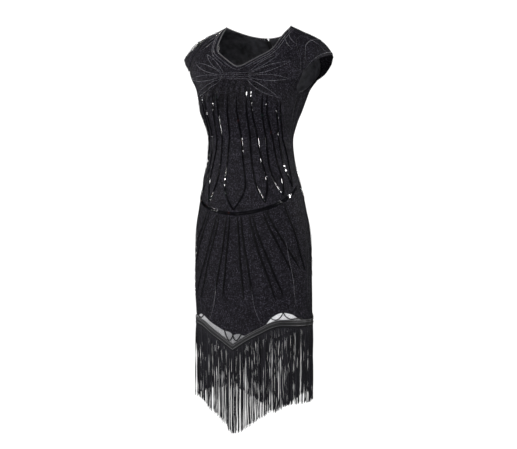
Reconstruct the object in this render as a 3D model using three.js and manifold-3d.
import * as THREE from 'three';
import Module from 'manifold-3d';

// A flapper dress with cap sleeves and a long fringe, hollow and filled out as if worn.
// Millimetres, +Z up, the front towards -Y and the wearer's left towards +X.
// The origin lies midway between the neck ends of the two shoulder seams.

const wasm = await Module();
wasm.setup();

const { lerp, smoothstep, radToDeg } = THREE.MathUtils;

const FRONT = -1;
const BACK = 1;
const LEFT = 1;
const RIGHT = -1;

// Thickness of each cloth and the clearances between them.
const NET = 1.2;
const LINING = 1.0;
const TAPE = 1.0;
const SEAM_GAP = 0.3;
const TAPE_DEPTH = NET + 0.6;
const LINING_DEPTH = TAPE_DEPTH + TAPE + 0.4;

// Heights that the pattern is drafted to.
const CHEST = -177;
const BODY_END = -700;
const SHOULDER_END = -24;
const FRONT_NECK = -111;
const BACK_NECK = -31;
const NECK_POINT = 99;

// The dress in level sections, from the neck end of the shoulder down to the hem.
// lean: how far the section's middle stands forward (-) of the shoulders, front and back: its depths.
// square: 2 is an ellipse, more is boxier.
const LEVELS = [
  { z: 0, halfWidth: 99, lean: 0, front: 4, back: 4, square: 2.2 },
  { z: -8, halfWidth: 116.7, lean: 0, front: 22, back: 25, square: 2.25 },
  { z: -16, halfWidth: 134.4, lean: 0, front: 36, back: 42, square: 2.3 },
  { z: -24, halfWidth: 152, lean: 0, front: 47, back: 54, square: 2.35 },
  { z: -36, halfWidth: 164, lean: -3, front: 59, back: 68, square: 2.4 },
  { z: -60, halfWidth: 174, lean: -8, front: 79, back: 91, square: 2.6 },
  { z: -90, halfWidth: 178, lean: -14, front: 98, back: 110, square: 2.9 },
  { z: -118, halfWidth: 176, lean: -20, front: 109, back: 120, square: 3.1 },
  { z: -145, halfWidth: 162, lean: -26, front: 116, back: 124, square: 3.2 },
  { z: -160, halfWidth: 149, lean: -29, front: 119, back: 125, square: 3.3 },
  { z: -177, halfWidth: 139, lean: -32, front: 121, back: 124, square: 3.3 },
  { z: -226, halfWidth: 127.5, lean: -39, front: 117, back: 112, square: 3.0 },
  { z: -258, halfWidth: 122, lean: -43, front: 107, back: 101, square: 2.5 },
  { z: -307, halfWidth: 116.5, lean: -46, front: 93, back: 88, square: 2.15 },
  { z: -355, halfWidth: 120.5, lean: -46, front: 94, back: 91, square: 2.1 },
  { z: -420, halfWidth: 134.5, lean: -42, front: 102, back: 103, square: 2.1 },
  { z: -485, halfWidth: 148.5, lean: -38, front: 111, back: 115, square: 2.1 },
  { z: -566, halfWidth: 158.5, lean: -34, front: 118, back: 123, square: 2.1 },
  { z: -695, halfWidth: 161, lean: -31, front: 122, back: 124, square: 2.1 },
  { z: -793, halfWidth: 157, lean: -25, front: 128, back: 128, square: 2.1 },
  { z: -880, halfWidth: 156, lean: -23, front: 131, back: 131, square: 2.1 },
];

// Height of the hems by the share of the way across from the centre line to the side seam.
const FRONT_HEMS = [
  { across: 0, net: -860, lining: -812 },
  { across: 0.4, net: -821, lining: -786 },
  { across: 0.78, net: -795, lining: -758 },
  { across: 1, net: -798, lining: -768 },
];
const BACK_HEMS = [
  { across: 0, net: -850, lining: -803 },
  { across: 0.4, net: -818, lining: -783 },
  { across: 0.78, net: -792, lining: -756 },
  { across: 1, net: -798, lining: -768 },
];

// Soft folds of the skirt, by degrees round from the centre front towards the wearer's left.
// width: degrees from the ridge to its foot, depth: how far the ridge stands out at the hem.
const FOLDS = [
  { turn: -158, width: 13, depth: 4.0 },
  { turn: -121, width: 15, depth: 5.0 },
  { turn: -86, width: 12, depth: 3.0 },
  { turn: -51, width: 15, depth: 5.5 },
  { turn: -22, width: 11, depth: 3.0 },
  { turn: 17, width: 12, depth: 3.5 },
  { turn: 55, width: 15, depth: 6.0 },
  { turn: 92, width: 13, depth: 3.5 },
  { turn: 126, width: 14, depth: 5.0 },
  { turn: 162, width: 12, depth: 3.5 },
];
const FOLD_TOP = -430;
const FOLD_HEM = -800;

// Ease cut into the front by the bust darts.
const DART_EASE = { x: 64, z: -188, reach: 56, fullness: 6 };

// The armhole seen from the side: an egg between the shoulder end and the underarm.
const ARMHOLE = {
  [FRONT]: { halfDepth: 58, roundness: 0.7 },
  [BACK]: { halfDepth: 72, roundness: 1.0 },
};

// Cap sleeve: its outermost point, its fullness and how many chest rows down the armhole it is sewn.
// spread: how long its hem stays out wide on the way down to the underarm.
const SLEEVE = {
  tipX: 215, tipY: 6, tipZ: -79, crown: 15, frontRows: 9, backRows: 11, outSteps: 4,
  spread: { [FRONT]: 0.8, [BACK]: 1.8 },
};

// Zip down the centre back.
const ZIP = { top: -34, end: -421, halfGap: 1.5, tapeWidth: 11, chainHalfWidth: 1.1, liningInset: 6 };

// Zip slider and its pull tab; the bail's axis stands this far off the cloth.
const SLIDER = { z: -46, gap: 0.3, plate: 1.8, width: 5, length: 9, bailInner: 1.05, bailOuter: 1.8, bailWidth: 1.4 };
const BAIL_AXIS = SLIDER.gap + SLIDER.plate + SLIDER.bailInner + 0.1;
const TAB = { thickness: 1.2, halfWidth: 2.8, length: 16, barHalf: 0.6, windowHalf: 1.3, windowEnd: 2.9 };

// Fringe: heading tape on the hem and its hanging strands, which are shorter towards the side seams.
const FRINGE = {
  tape: 1.6, gap: 0.4, above: 17, below: 3, strands: 100, radius: 0.75, root: 2, drawIn: 0.018,
  length: { [FRONT]: 219, [BACK]: 203 }, sideShare: 0.9,
};

// How finely each wall is divided.
const NET_GRID = { columns: 11, hemRows: 3 };
const LINING_GRID = { columns: 7, hemRows: 2 };
const BODY_ROWS = 15;
const CHEST_ROWS = 15;
const PIPING = { radius: 1.7, gap: 0.5, sides: 6, shoulderStop: 0.985 };

// A smooth curve through the rows of a table that never swings past them.
function smoothTable(rows, key, value) {
  const sorted = [...rows].sort((a, b) => a[key] - b[key]);
  const keys = sorted.map((row) => row[key]);
  const values = sorted.map((row) => row[value]);
  const secants = keys.slice(1).map((k, i) => (values[i + 1] - values[i]) / (k - keys[i]));
  const slopes = keys.map((_, i) => {
    const before = secants[i - 1] ?? secants[i];
    const after = secants[i] ?? secants[i - 1];
    return before * after <= 0 ? 0 : (2 * before * after) / (before + after);
  });
  return (at) => {
    const k = Math.min(Math.max(at, keys[0]), keys[keys.length - 1]);
    const i = Math.max(0, keys.findIndex((limit, index) => index > 0 && k <= limit) - 1);
    const span = keys[i + 1] - keys[i];
    const t = (k - keys[i]) / span;
    const rise = values[i + 1] - values[i];
    const early = slopes[i] * span - rise;
    const late = rise - slopes[i + 1] * span;
    return values[i] + t * rise + t * (1 - t) * ((1 - t) * early + t * late);
  };
}

const halfWidth = smoothTable(LEVELS, 'z', 'halfWidth');
const lean = smoothTable(LEVELS, 'z', 'lean');
const depth = {
  [FRONT]: smoothTable(LEVELS, 'z', 'front'),
  [BACK]: smoothTable(LEVELS, 'z', 'back'),
};
const square = smoothTable(LEVELS, 'z', 'square');

// How deep a place lies before or behind the seam line, as a share of the section's depth.
function deepShare(y, z, face) {
  return Math.max(Math.abs(y - lean(z)) - SEAM_GAP / 2, 0) / depth[face](z);
}

// Below 1 inside the level section at this height, above 1 outside it.
function sectionValue(x, y, z, face) {
  const across = Math.abs(x) / halfWidth(z);
  return across ** square(z) + deepShare(y, z, face) ** square(z);
}

function outward(point, face) {
  const { x, y, z } = point;
  const power = square(z);
  const acrossSlope = (power / halfWidth(z)) * (Math.abs(x) / halfWidth(z)) ** (power - 1);
  const deepSlope = (power / depth[face](z)) * deepShare(y, z, face) ** (power - 1);
  const step = 0.5;
  const rise = sectionValue(x, y, z + step, face) - sectionValue(x, y, z - step, face);
  return new THREE.Vector3(Math.sign(x) * acrossSlope, face * deepSlope, rise / (2 * step)).normalize();
}

function foldHeight(x, y, z, face) {
  const sideways = x / halfWidth(z);
  const forward = -(y - lean(z)) / depth[face](z);
  const turn = radToDeg(Math.atan2(sideways, forward));
  const grown = Math.min(Math.max((FOLD_TOP - z) / (FOLD_TOP - FOLD_HEM), 0), 1.15) ** 1.4;
  return FOLDS.reduce((sum, fold) => {
    const away = ((turn - fold.turn + 540) % 360) - 180;
    return sum + grown * fold.depth * Math.exp(-((away / fold.width) ** 2));
  }, 0);
}

function dartEase(x, z, face) {
  const away = ((Math.abs(x) - DART_EASE.x) ** 2 + (z - DART_EASE.z) ** 2) / DART_EASE.reach ** 2;
  return face === FRONT ? DART_EASE.fullness * Math.exp(-away) : 0;
}

// The place on the cloth at x across and height z, moved in through the layers by inset.
function onCloth(x, z, face, inset) {
  const across = Math.min(Math.abs(x) / halfWidth(z), 1);
  const deep = depth[face](z) * (1 - across ** square(z)) ** (1 / square(z));
  const y = lean(z) + face * Math.max(deep, SEAM_GAP / 2);
  const point = new THREE.Vector3(Math.sign(x) * across * halfWidth(z), y, z);
  const out = foldHeight(x, y, z, face) + dartEase(x, z, face) - inset;
  return point.clone().addScaledVector(outward(point, face), out);
}

// A single layer of cloth: each corner has an outer and an inner place, shared where edges meet.
class Sheet {
  constructor() {
    this.outer = [];
    this.inner = [];
    this.triangles = [];
    this.known = new Map();
  }

  corner(outer, inner) {
    const key = outer.toArray().map((n) => n.toFixed(2)).join(' ');
    if (!this.known.has(key)) {
      this.known.set(key, this.outer.length);
      this.outer.push(outer);
      this.inner.push(inner);
    }
    return this.known.get(key);
  }

  // Fills a grid of corners with triangles that face outwards.
  fill(grid, flipped) {
    for (let r = 0; r + 1 < grid.length; r += 1) {
      for (let c = 0; c + 1 < grid[r].length; c += 1) {
        const quad = [grid[r][c], grid[r][c + 1], grid[r + 1][c + 1], grid[r + 1][c]];
        const [p, q, s, t] = flipped ? quad.reverse() : quad;
        this.triangles.push([p, q, s], [p, s, t]);
      }
    }
  }

  // The closed wall between the outer and the inner layer.
  solid() {
    const count = this.outer.length;
    const edges = new Map();
    this.triangles.forEach(([a, b, c]) => {
      [[a, b], [b, c], [c, a]].forEach(([from, to]) => edges.set(`${from}>${to}`, [from, to]));
    });
    const faces = this.triangles.flatMap(([a, b, c]) => [a, b, c, a + count, c + count, b + count]);
    edges.forEach(([from, to]) => {
      if (!edges.has(`${to}>${from}`)) {
        faces.push(to, from, from + count, to, from + count, to + count);
      }
    });
    const geometry = new THREE.BufferGeometry();
    const places = [...this.outer, ...this.inner].flatMap((place) => place.toArray());
    geometry.setAttribute('position', new THREE.Float32BufferAttribute(places, 3));
    geometry.setIndex(faces);
    return geometry;
  }
}

function frontNeckline() {
  const path = new THREE.Path();
  path.moveTo(0, FRONT_NECK);
  path.quadraticCurveTo(9, FRONT_NECK, 22, FRONT_NECK + 8);
  path.lineTo(70, -75);
  path.quadraticCurveTo(88, -64, 90, -44);
  path.lineTo(NECK_POINT, 0);
  return path;
}

function backNeckline() {
  const path = new THREE.Path();
  path.moveTo(ZIP.halfGap, BACK_NECK);
  path.quadraticCurveTo(58, BACK_NECK + 2, NECK_POINT, 0);
  return path;
}

// From the shoulder end (0) down to the underarm (1).
function armholeAt(share, face) {
  const z = lerp(SHOULDER_END, CHEST, (1 - Math.cos(Math.PI * share)) / 2);
  const { halfDepth, roundness } = ARMHOLE[face];
  const off = halfDepth * Math.max(Math.sin(Math.PI * share), 0) ** roundness;
  const across = (1 - (off / depth[face](z)) ** square(z)) ** (1 / square(z));
  return { x: halfWidth(z) * across, z };
}

// How a panel is drafted: its neckline, the share of the chest rows below the neck, and its hems.
const DRAFTS = {
  [FRONT]: { neckline: frontNeckline(), neckHeight: FRONT_NECK, neckShare: 0.4, hems: FRONT_HEMS },
  [BACK]: { neckline: backNeckline(), neckHeight: BACK_NECK, neckShare: 0.8, hems: BACK_HEMS },
};

// Half the gap down the centre line: none on the front, the zip's opening and then a seam on the back.
function centreGap(z, face, zipHalfGap) {
  if (face === FRONT) return 0;
  return lerp(SEAM_GAP / 2, zipHalfGap, smoothstep(z, ZIP.end - 25, ZIP.end));
}

// One half of a panel as rows of places from the hem up to the shoulder, centre line to side.
function halfPanel(face, hem, grid, zipHalfGap) {
  const { neckline, neckHeight, neckShare } = DRAFTS[face];
  const shares = Array.from({ length: grid.columns + 1 }, (_, c) => (
    Math.sin((c / grid.columns) * (Math.PI / 2)) ** 0.85
  ));
  const rows = [];
  const level = (heightAt) => shares.map((share) => {
    const z = heightAt(share);
    return { x: lerp(centreGap(z, face, zipHalfGap), halfWidth(z), share), z };
  });
  for (let r = 0; r < grid.hemRows; r += 1) {
    rows.push(level((share) => lerp(hem(share), BODY_END, r / grid.hemRows)));
  }
  for (let r = 0; r < BODY_ROWS; r += 1) {
    rows.push(level(() => lerp(BODY_END, CHEST, r / BODY_ROWS)));
  }
  for (let r = 0; r <= CHEST_ROWS; r += 1) {
    const up = r / CHEST_ROWS;
    const neck = neckline.getPointAt(Math.max(0, (up - neckShare) / (1 - neckShare)));
    const centreZ = up < neckShare ? lerp(CHEST, neckHeight, up / neckShare) : neck.y;
    const gap = centreGap(centreZ, face, zipHalfGap);
    const centreX = up < neckShare ? gap : Math.max(neck.x, gap);
    const arm = armholeAt(1 - up, face);
    rows.push(shares.map((share) => {
      const z = lerp(centreZ, arm.z, share);
      return { x: r === CHEST_ROWS ? halfWidth(z) : lerp(centreX, arm.x, share), z };
    }));
  }
  return rows;
}

// A cloth wall over one or both halves of the front or the back.
function panel(face, sides, layer, grid) {
  const hem = smoothTable(DRAFTS[face].hems, 'across', layer.hem);
  const sheet = new Sheet();
  sides.forEach((side) => {
    const corners = halfPanel(face, hem, grid, layer.zipHalfGap).map((row) => row.map(({ x, z }) => (
      sheet.corner(
        onCloth(side * x, z, face, layer.inset),
        onCloth(side * x, z, face, layer.inset + layer.thickness),
      )
    )));
    sheet.fill(corners, side * face > 0);
  });
  return sheet.solid();
}

const NET_LAYER = { hem: 'net', inset: 0, thickness: NET, zipHalfGap: ZIP.halfGap };
const LINING_LAYER = { hem: 'lining', inset: LINING_DEPTH, thickness: LINING, zipHalfGap: ZIP.liningInset };

// A place on the cap sleeve: rows along from the shoulder to the front (-) or back, out to its hem (1).
function sleevePlace(side, rows, out) {
  const face = rows < 0 ? FRONT : BACK;
  const notchRows = face === FRONT ? SLEEVE.frontRows : SLEEVE.backRows;
  const sewn = armholeAt(Math.abs(rows) / CHEST_ROWS, face);
  const notch = armholeAt(notchRows / CHEST_ROWS, face);
  const seam = onCloth(side * sewn.x, sewn.z, face, 0);
  const notchPlace = onCloth(side * notch.x, notch.z, face, 0);
  const round = (Math.abs(rows) / notchRows) * (Math.PI / 2);
  const fall = 1 - Math.cos(round);
  const hem = new THREE.Vector3(
    lerp(side * SLEEVE.tipX, notchPlace.x, fall ** SLEEVE.spread[face]),
    lerp(SLEEVE.tipY, notchPlace.y, Math.sin(round)),
    lerp(SLEEVE.tipZ, notchPlace.z, fall),
  );
  const length = seam.distanceTo(hem);
  const crown = seam.clone().lerp(hem, 0.6);
  crown.addScaledVector(outward(seam, face), SLEEVE.crown * (length / 80));
  const start = crown.clone().sub(seam).setLength(SEAM_GAP).add(seam);
  return new THREE.QuadraticBezierCurve3(start, crown, hem).getPoint(out);
}

function sleeve(side) {
  const sheet = new Sheet();
  const corners = [];
  for (let rows = 1 - SLEEVE.frontRows; rows < SLEEVE.backRows; rows += 1) {
    const line = [];
    for (let step = 0; step <= SLEEVE.outSteps; step += 1) {
      const out = step / SLEEVE.outSteps;
      const place = sleevePlace(side, rows, out);
      const alongWay = sleevePlace(side, rows + 0.1, out).sub(sleevePlace(side, rows - 0.1, out));
      const outWay = sleevePlace(side, rows, out + 0.01).sub(sleevePlace(side, rows, out - 0.01));
      const normal = outWay.cross(alongWay).multiplyScalar(side).normalize();
      line.push(sheet.corner(place, place.clone().addScaledVector(normal, -NET)));
    }
    corners.push(line);
  }
  sheet.fill(corners, side < 0);
  return sheet.solid();
}

// Round piping on the neck edge of one panel, from its first to its last side along the edge.
function piping(face, sides) {
  const { neckline, neckShare } = DRAFTS[face];
  const count = Math.round(CHEST_ROWS * (1 - neckShare));
  const shares = Array.from({ length: count + 1 }, (_, k) => Math.min(k / count, PIPING.shoulderStop));
  const edges = sides.flatMap((side) => {
    const half = shares.map((share) => ({ side, ...neckline.getPointAt(share) }));
    return side === RIGHT ? half.reverse() : half;
  });
  const places = edges
    .filter((edge, k) => k === 0 || edge.x > 0 || edges[k - 1].x > 0)
    .map((edge) => onCloth(edge.side * edge.x, edge.y, face, 0));
  const rings = places.map((place, k) => {
    const before = places[Math.max(k - 1, 0)];
    const after = places[Math.min(k + 1, places.length - 1)];
    const normal = outward(place, face);
    const way = after.clone().sub(before).normalize();
    const intoNeck = way.cross(normal).multiplyScalar(face).normalize();
    const centre = place.clone().addScaledVector(normal, -NET / 2);
    centre.addScaledVector(intoNeck, PIPING.radius + PIPING.gap);
    return Array.from({ length: PIPING.sides }, (_, s) => {
      const round = (2 * Math.PI * s) / PIPING.sides;
      const spoke = normal.clone().multiplyScalar(Math.cos(round)).addScaledVector(intoNeck, Math.sin(round));
      return centre.clone().addScaledVector(spoke, PIPING.radius);
    });
  });
  return tube(rings, face === FRONT);
}

// A closed tube through rings of places, capped with a fan at each end.
function tube(rings, flipped) {
  const around = rings[0].length;
  const faces = [];
  const triangle = (a, b, c) => faces.push(...(flipped ? [a, c, b] : [a, b, c]));
  for (let r = 0; r + 1 < rings.length; r += 1) {
    for (let s = 0; s < around; s += 1) {
      const next = (s + 1) % around;
      const [p, q] = [r * around + s, r * around + next];
      triangle(p, q, q + around);
      triangle(p, q + around, p + around);
    }
  }
  const last = (rings.length - 1) * around;
  for (let s = 1; s + 1 < around; s += 1) {
    triangle(0, s + 1, s);
    triangle(last, last + s, last + s + 1);
  }
  const geometry = new THREE.BufferGeometry();
  const places = rings.flat().flatMap((place) => place.toArray());
  geometry.setAttribute('position', new THREE.Float32BufferAttribute(places, 3));
  geometry.setIndex(faces);
  return geometry;
}

// Heights at which every layer has a row of corners down the centre back.
function centreBackRows(top, bottom) {
  const chestRows = Math.round(CHEST_ROWS * DRAFTS[BACK].neckShare);
  const body = Array.from({ length: BODY_ROWS }, (_, r) => lerp(BODY_END, CHEST, r / BODY_ROWS));
  const chest = Array.from({ length: chestRows }, (_, r) => lerp(CHEST, BACK_NECK, r / chestRows));
  return [bottom, ...[...body, ...chest].filter((z) => z > bottom + 2 && z < top - 2), top];
}

// A strip that lies along the centre back between two heights, with edges at the given places across.
function backStrip(xs, top, bottom, inset, thickness) {
  const sheet = new Sheet();
  const corners = centreBackRows(top, bottom).map((z) => xs.map((x) => (
    sheet.corner(onCloth(x, z, BACK, inset), onCloth(x, z, BACK, inset + thickness))
  )));
  sheet.fill(corners, true);
  return sheet.solid();
}

function toManifold(geometry) {
  const vertProperties = new Float32Array(geometry.getAttribute('position').array);
  const triVerts = new Uint32Array(geometry.getIndex().array);
  const mesh = new wasm.Mesh({ numProp: 3, vertProperties, triVerts });
  mesh.merge();
  return new wasm.Manifold(mesh);
}

function fromManifold(manifold) {
  const mesh = manifold.getMesh();
  const geometry = new THREE.BufferGeometry();
  geometry.setAttribute('position', new THREE.Float32BufferAttribute(mesh.vertProperties, 3));
  geometry.setIndex(Array.from(mesh.triVerts));
  return geometry;
}

function withIndex(geometry) {
  if (!geometry.getIndex()) {
    geometry.setIndex(Array.from({ length: geometry.getAttribute('position').count }, (_, k) => k));
  }
  return geometry;
}

// The hem from the right side seam to the left, at the columns of the panel above it.
function hemColumns(face) {
  const hem = smoothTable(DRAFTS[face].hems, 'across', 'net');
  const columns = [];
  for (let c = -NET_GRID.columns; c <= NET_GRID.columns; c += 1) {
    const share = Math.sin((Math.abs(c) / NET_GRID.columns) * (Math.PI / 2)) ** 0.85;
    columns.push({ side: c < 0 ? RIGHT : LEFT, share, z: hem(share) });
  }
  return columns;
}

// A small steady scatter from a whole number, between -1 and 1.
function scatter(seed) {
  const wave = Math.sin(seed * 12.9898 + 4.1) * 43758.5453;
  return 2 * (wave - Math.floor(wave)) - 1;
}

// One strand: three sides from inside the tape down to its tip, slightly drawn in and out of line.
function strand(root, fullLength, seed) {
  const length = fullLength * (1 + 0.012 * scatter(seed));
  const stations = [
    { drop: -FRINGE.root, reach: FRINGE.radius, draw: 1, sway: 0 },
    { drop: length, reach: 0.7 * FRINGE.radius, draw: 1 - FRINGE.drawIn, sway: 0.45 },
  ];
  const rings = stations.map(({ drop, reach, draw, sway }) => [0, 1, 2].map((corner) => {
    const round = (2 * Math.PI * corner) / 3 + seed;
    const x = root.x * draw + sway * scatter(seed + 300) + reach * Math.cos(round);
    const y = root.y * draw + sway * scatter(seed + 700) + reach * Math.sin(round);
    return new THREE.Vector3(x, y, root.z - drop);
  }));
  return tube(rings.reverse(), false);
}

function fringe(face) {
  const sheet = new Sheet();
  const columns = hemColumns(face);
  const outerInset = -FRINGE.gap - FRINGE.tape;
  const edgeAt = ({ side, share, z }, rise, inset) => (
    onCloth(side * lerp(centreGap(z, face, 0), halfWidth(z + rise), share), z + rise, face, inset)
  );
  const corners = [-FRINGE.below, FRINGE.above].map((rise) => columns.map((column) => (
    sheet.corner(edgeAt(column, rise, outerInset), edgeAt(column, rise, -FRINGE.gap))
  )));
  sheet.fill(corners, face === BACK);
  const route = new THREE.CurvePath();
  const roots = columns.map((column) => edgeAt(column, -FRINGE.below, -FRINGE.gap - FRINGE.tape / 2));
  for (let k = 0; k + 1 < roots.length; k += 1) {
    route.add(new THREE.LineCurve3(roots[k], roots[k + 1]));
  }
  const strands = Array.from({ length: FRINGE.strands }, (_, k) => {
    const root = route.getPointAt((k + 0.5) / FRINGE.strands);
    const share = Math.abs(root.x) / halfWidth(root.z);
    const length = FRINGE.length[face] * lerp(1, FRINGE.sideShare, share);
    return toManifold(strand(root, length, k + (face === BACK ? 1000 : 0)));
  });
  return fromManifold(strands.reduce((whole, one) => whole.add(one), toManifold(sheet.solid())));
}

function extruded(shape, thickness) {
  const settings = { depth: thickness, bevelEnabled: false, curveSegments: 6 };
  return withIndex(new THREE.ExtrudeGeometry(shape, settings)).translate(0, 0, -thickness / 2);
}

// Drawn with x across and y up the back; the extrusion then stands off the cloth along +Y.
function flatOnBack(geometry, standOff) {
  return geometry.rotateX(Math.PI / 2).translate(0, standOff, 0);
}

function sliderGeometry() {
  const halfWide = SLIDER.width / 2;
  const halfLong = SLIDER.length / 2;
  const plate = new THREE.Shape();
  plate.moveTo(-halfWide + 0.6, -halfLong);
  plate.lineTo(halfWide - 0.6, -halfLong);
  plate.lineTo(halfWide, halfLong - 1.5);
  plate.quadraticCurveTo(halfWide, halfLong, halfWide - 1.5, halfLong);
  plate.lineTo(-halfWide + 1.5, halfLong);
  plate.quadraticCurveTo(-halfWide, halfLong, -halfWide, halfLong - 1.5);
  const plateSolid = flatOnBack(extruded(plate, SLIDER.plate), SLIDER.gap + SLIDER.plate / 2);
  const keyDepth = 1.2;
  const key = new THREE.BoxGeometry(1.8, keyDepth, SLIDER.length - 3);
  key.translate(0, SLIDER.gap + 0.2 - keyDepth / 2, 0);
  const base = SLIDER.gap + SLIDER.plate - 0.2;
  const bail = new THREE.Shape();
  bail.moveTo(-SLIDER.bailOuter, base);
  bail.lineTo(-SLIDER.bailInner, base);
  bail.lineTo(-SLIDER.bailInner, BAIL_AXIS);
  bail.absarc(0, BAIL_AXIS, SLIDER.bailInner, Math.PI, 0, true);
  bail.lineTo(SLIDER.bailInner, base);
  bail.lineTo(SLIDER.bailOuter, base);
  bail.lineTo(SLIDER.bailOuter, BAIL_AXIS);
  bail.absarc(0, BAIL_AXIS, SLIDER.bailOuter, 0, Math.PI, false);
  const bailSolid = extruded(bail, SLIDER.bailWidth).rotateY(-Math.PI / 2);
  return fromManifold(toManifold(plateSolid).add(toManifold(key)).add(toManifold(bailSolid)));
}

function tabGeometry() {
  const { halfWidth: wide, length, barHalf, windowHalf, windowEnd } = TAB;
  const drop = new THREE.Shape();
  drop.moveTo(-wide + 0.8, barHalf);
  drop.quadraticCurveTo(-wide, barHalf, -wide, -1);
  drop.quadraticCurveTo(-wide + 0.7, -length * 0.45, -wide, -length * 0.75);
  drop.quadraticCurveTo(-wide, -length, 0, -length);
  drop.quadraticCurveTo(wide, -length, wide, -length * 0.75);
  drop.quadraticCurveTo(wide - 0.7, -length * 0.45, wide, -1);
  drop.quadraticCurveTo(wide, barHalf, wide - 0.8, barHalf);
  const window = new THREE.Path();
  window.moveTo(-windowHalf, -barHalf);
  window.lineTo(-windowHalf, -windowEnd);
  window.lineTo(windowHalf, -windowEnd);
  window.lineTo(windowHalf, -barHalf);
  drop.holes.push(window);
  return fromManifold(toManifold(flatOnBack(extruded(drop, TAB.thickness), BAIL_AXIS)));
}

const MATERIALS = {
  net: new THREE.MeshStandardMaterial({ color: '#26252b', roughness: 0.75, metalness: 0 }),
  lining: new THREE.MeshStandardMaterial({ color: '#131316', roughness: 0.6, metalness: 0 }),
  piping: new THREE.MeshStandardMaterial({ color: '#3a3a40', roughness: 0.5, metalness: 0 }),
  fringe: new THREE.MeshStandardMaterial({ color: '#17171b', roughness: 0.55, metalness: 0 }),
  zip: new THREE.MeshStandardMaterial({ color: '#1b1b1f', roughness: 0.5, metalness: 0 }),
  metal: new THREE.MeshStandardMaterial({ color: '#8d8d92', roughness: 0.3, metalness: 1 }),
};

const dress = new THREE.Group();
dress.name = 'flapper_dress';

function addPiece(name, geometry, material, parent = dress) {
  const mesh = new THREE.Mesh(geometry, material.clone());
  mesh.name = name;
  parent.add(mesh);
}

addPiece('front_panel', panel(FRONT, [RIGHT, LEFT], NET_LAYER, NET_GRID), MATERIALS.net);
addPiece('back_panel_left', panel(BACK, [LEFT], NET_LAYER, NET_GRID), MATERIALS.net);
addPiece('back_panel_right', panel(BACK, [RIGHT], NET_LAYER, NET_GRID), MATERIALS.net);
addPiece('sleeve_left', sleeve(LEFT), MATERIALS.net);
addPiece('sleeve_right', sleeve(RIGHT), MATERIALS.net);
addPiece('lining_front', panel(FRONT, [RIGHT, LEFT], LINING_LAYER, LINING_GRID), MATERIALS.lining);
addPiece('lining_back_left', panel(BACK, [LEFT], LINING_LAYER, LINING_GRID), MATERIALS.lining);
addPiece('lining_back_right', panel(BACK, [RIGHT], LINING_LAYER, LINING_GRID), MATERIALS.lining);
addPiece('neck_piping_front', piping(FRONT, [RIGHT, LEFT]), MATERIALS.piping);
addPiece('neck_piping_back_left', piping(BACK, [LEFT]), MATERIALS.piping);
addPiece('neck_piping_back_right', piping(BACK, [RIGHT]), MATERIALS.piping);
addPiece('fringe_front', fringe(FRONT), MATERIALS.fringe);
addPiece('fringe_back', fringe(BACK), MATERIALS.fringe);

const tapeEdges = [ZIP.halfGap, ZIP.halfGap + ZIP.tapeWidth / 2, ZIP.halfGap + ZIP.tapeWidth];
const tapeRight = tapeEdges.map((x) => -x).reverse();
const chainEdges = [-ZIP.chainHalfWidth, ZIP.chainHalfWidth];
const chainTop = SLIDER.z - SLIDER.length / 2 - 1;
addPiece('zip_tape_left', backStrip(tapeEdges, ZIP.top, ZIP.end, TAPE_DEPTH, TAPE), MATERIALS.zip);
addPiece('zip_tape_right', backStrip(tapeRight, ZIP.top, ZIP.end, TAPE_DEPTH, TAPE), MATERIALS.zip);
addPiece('zip_chain', backStrip(chainEdges, chainTop, ZIP.end, 0.4, 1.6), MATERIALS.zip);

const sliderPlace = onCloth(0, SLIDER.z, BACK, 0);
const sliderFacing = outward(sliderPlace, BACK);
const slider = new THREE.Group();
slider.position.copy(sliderPlace);
slider.rotation.x = Math.atan2(sliderFacing.z, sliderFacing.y);
dress.add(slider);
addPiece('zip_slider', sliderGeometry(), MATERIALS.metal, slider);
addPiece('zip_pull_tab', tabGeometry(), MATERIALS.metal, slider);

export default dress;
